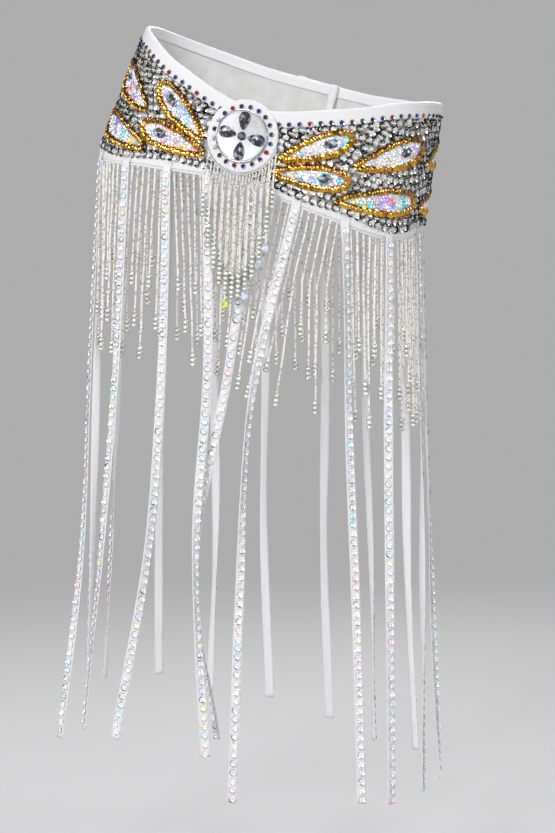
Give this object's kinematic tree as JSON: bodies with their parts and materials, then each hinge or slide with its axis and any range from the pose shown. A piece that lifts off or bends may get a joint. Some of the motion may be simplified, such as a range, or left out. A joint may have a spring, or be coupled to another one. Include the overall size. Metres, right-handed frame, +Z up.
{
  "type": "sequin belt",
  "caption": "Sequin hip belt for a dance costume, worn tilted, with a round jewelled medallion, leaf outlines, beaded fringe and long sequin ribbons.",
  "frame": {"origin": "middle of the ring that the hips fill, 60 mm above the hem line along the ring's own axis", "axes": "+Z up as worn, -Y to the front, +X to the right side of the picture; the ring is tilted and turned on the hips and the ribbons hang down -Z"},
  "size_m": [0.4253, 0.3375, 0.8364],
  "materials": {
    "sequin_cloth": "stiffened cloth covered with silver cup sequins",
    "satin": "white satin",
    "gold_cord": "raised gold sequin and bead cord",
    "crystal": "foil-backed cut stone",
    "dish": "white dish with a silvered rim",
    "beads": "silver-lined seed beads and silver round beads",
    "ribbon": "white satin ribbon with iridescent sequins",
    "fastening": "hook-and-loop tape"
  },
  "bodies": {
    "root": {"belt_band": "sequin_cloth", "centre_stone": "crystal", "closure_tape": "fastening", "hem_binding": "satin", "hem_fringe_left_back": "beads", "hem_fringe_left_front": "beads", "hem_fringe_right_back": "beads", "hem_fringe_right_front": "beads", "leaf_left_back_lower": "gold_cord", "leaf_left_back_upper": "gold_cord", "leaf_left_end_lower": "gold_cord", "leaf_left_end_upper": "gold_cord", "leaf_left_front_lower": "gold_cord", "leaf_left_front_upper": "gold_cord", "leaf_left_side_lower": "gold_cord", "leaf_left_side_upper": "gold_cord", "leaf_right_back_lower": "gold_cord", "leaf_right_back_upper": "gold_cord", "leaf_right_end_lower": "gold_cord", "leaf_right_end_upper": "gold_cord", "leaf_right_front_lower": "gold_cord", "leaf_right_front_upper": "gold_cord", "leaf_right_side_lower": "gold_cord", "leaf_right_side_upper": "gold_cord", "medallion_dish": "dish", "medallion_fringe": "beads", "medallion_pad": "satin", "petal_stone_bottom": "crystal", "petal_stone_left": "crystal", "petal_stone_right": "crystal", "petal_stone_top": "crystal", "ribbon_left_1": "ribbon", "ribbon_left_2": "ribbon", "ribbon_left_3": "ribbon", "ribbon_left_4": "ribbon", "ribbon_left_5": "ribbon", "ribbon_left_6": "ribbon", "ribbon_left_7": "ribbon", "ribbon_left_8": "ribbon", "ribbon_left_9": "ribbon", "ribbon_right_1": "ribbon", "ribbon_right_2": "ribbon", "ribbon_right_3": "ribbon", "ribbon_right_4": "ribbon", "ribbon_right_5": "ribbon", "ribbon_right_6": "ribbon", "ribbon_right_7": "ribbon", "ribbon_right_8": "ribbon", "ribbon_right_9": "ribbon", "top_binding": "satin"}
  },
  "joints": []
}
